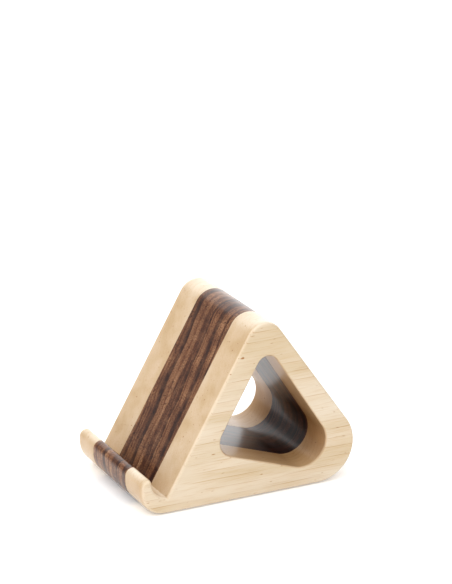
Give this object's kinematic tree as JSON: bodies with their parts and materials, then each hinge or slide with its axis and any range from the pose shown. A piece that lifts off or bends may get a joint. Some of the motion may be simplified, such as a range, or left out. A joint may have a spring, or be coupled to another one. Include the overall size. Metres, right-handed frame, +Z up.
{
  "type": "tablet stand",
  "caption": "Laminated maple and walnut stand with a lip, groove and incline that hold a tablet upright, and a rounded triangular tunnel through its side.",
  "frame": {"origin": "on the table, under the centre of the stand's box", "axes": "+X along the width, across the boards; +Y from the lip in front to the leg behind; +Z up"},
  "size_m": [0.09, 0.1362, 0.105],
  "materials": {
    "lacquered_maple": "satin lacquer over pale maple",
    "lacquered_walnut": "satin lacquer over dark walnut",
    "beech": "bare turned beech",
    "foot_rubber": "matt"
  },
  "bodies": {
    "root": {"left_side": "lacquered_maple", "centre_left": "lacquered_walnut", "centre_right": "lacquered_walnut", "right_side": "lacquered_maple", "front_dowel": "beech", "back_dowel": "beech", "top_dowel": "beech", "front_left_foot": "foot_rubber", "front_right_foot": "foot_rubber", "back_left_foot": "foot_rubber", "back_right_foot": "foot_rubber"}
  },
  "joints": []
}
